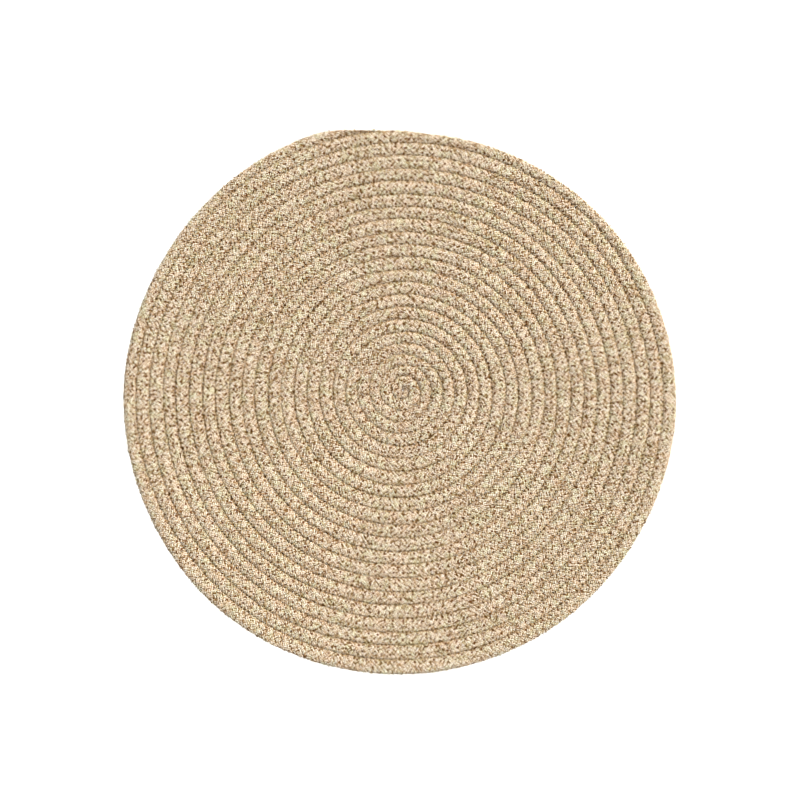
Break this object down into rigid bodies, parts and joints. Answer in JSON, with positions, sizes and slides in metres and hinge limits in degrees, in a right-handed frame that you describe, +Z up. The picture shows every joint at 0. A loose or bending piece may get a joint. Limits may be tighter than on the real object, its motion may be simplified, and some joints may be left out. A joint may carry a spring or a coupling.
{
  "type": "round jute rug",
  "caption": "Round floor rug of braided jute cord, wound into a flat spiral and sewn turn to turn, with a raised ridge along each turn and a tapered outer end.",
  "frame": {"origin": "under the middle of the outline's box, on the floor that the rug lies on", "axes": "+Z up out of the upper side, +X along the rug's slightly longer width, +Y towards the side where the cord's outer end is tucked in"},
  "size_m": [0.9046, 0.8906, 0.01],
  "materials": {
    "natural_jute": "matte, coarse braided natural fibre"
  },
  "bodies": {
    "root": {"coiled_braid": "natural_jute"}
  },
  "joints": []
}
